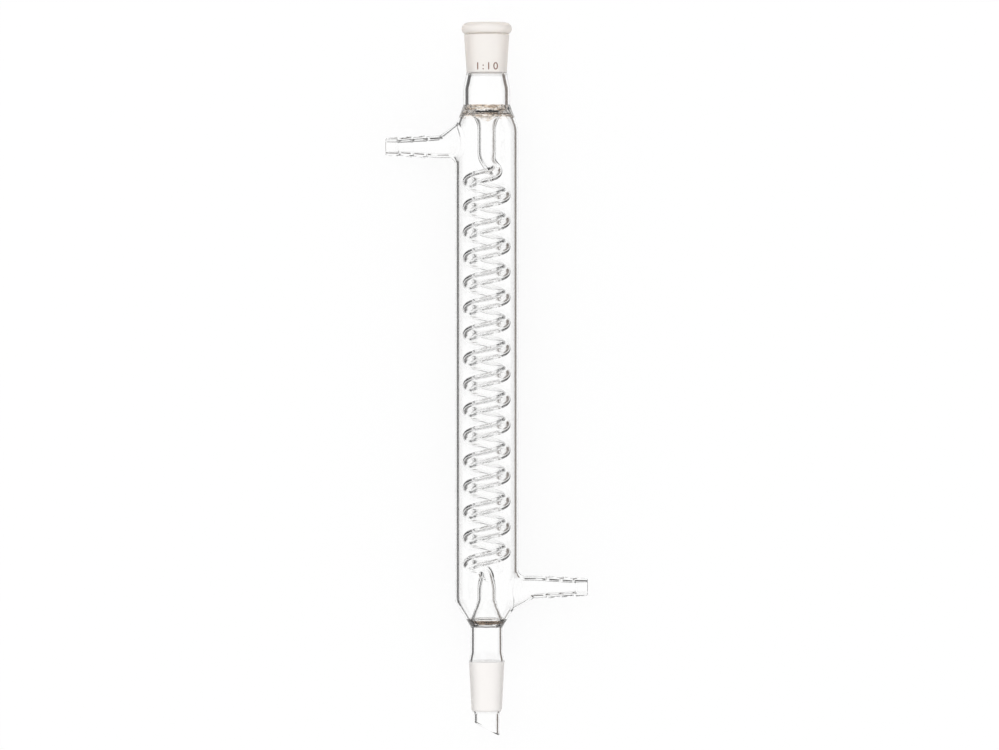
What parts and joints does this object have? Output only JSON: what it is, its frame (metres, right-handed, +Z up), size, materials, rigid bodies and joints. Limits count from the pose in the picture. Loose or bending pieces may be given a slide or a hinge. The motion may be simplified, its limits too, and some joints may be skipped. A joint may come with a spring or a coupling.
{
  "type": "coil condenser",
  "caption": "Glass coil condenser: a coiled vapour tube inside a water jacket, with a ground socket, a ground cone with drip tip, and two barbed hose connections.",
  "frame": {"origin": "middle of the part's extents at the bench surface it lies on, under the condenser's axis", "axes": "+Y along the condenser's axis towards the socket, +X towards the lower hose connection, +Z up from the bench"},
  "size_m": [0.0828, 0.292, 0.026],
  "materials": {
    "borosilicate_glass": "clear, with ground joints"
  },
  "bodies": {
    "root": {"glass_condenser": "borosilicate_glass"}
  },
  "joints": []
}
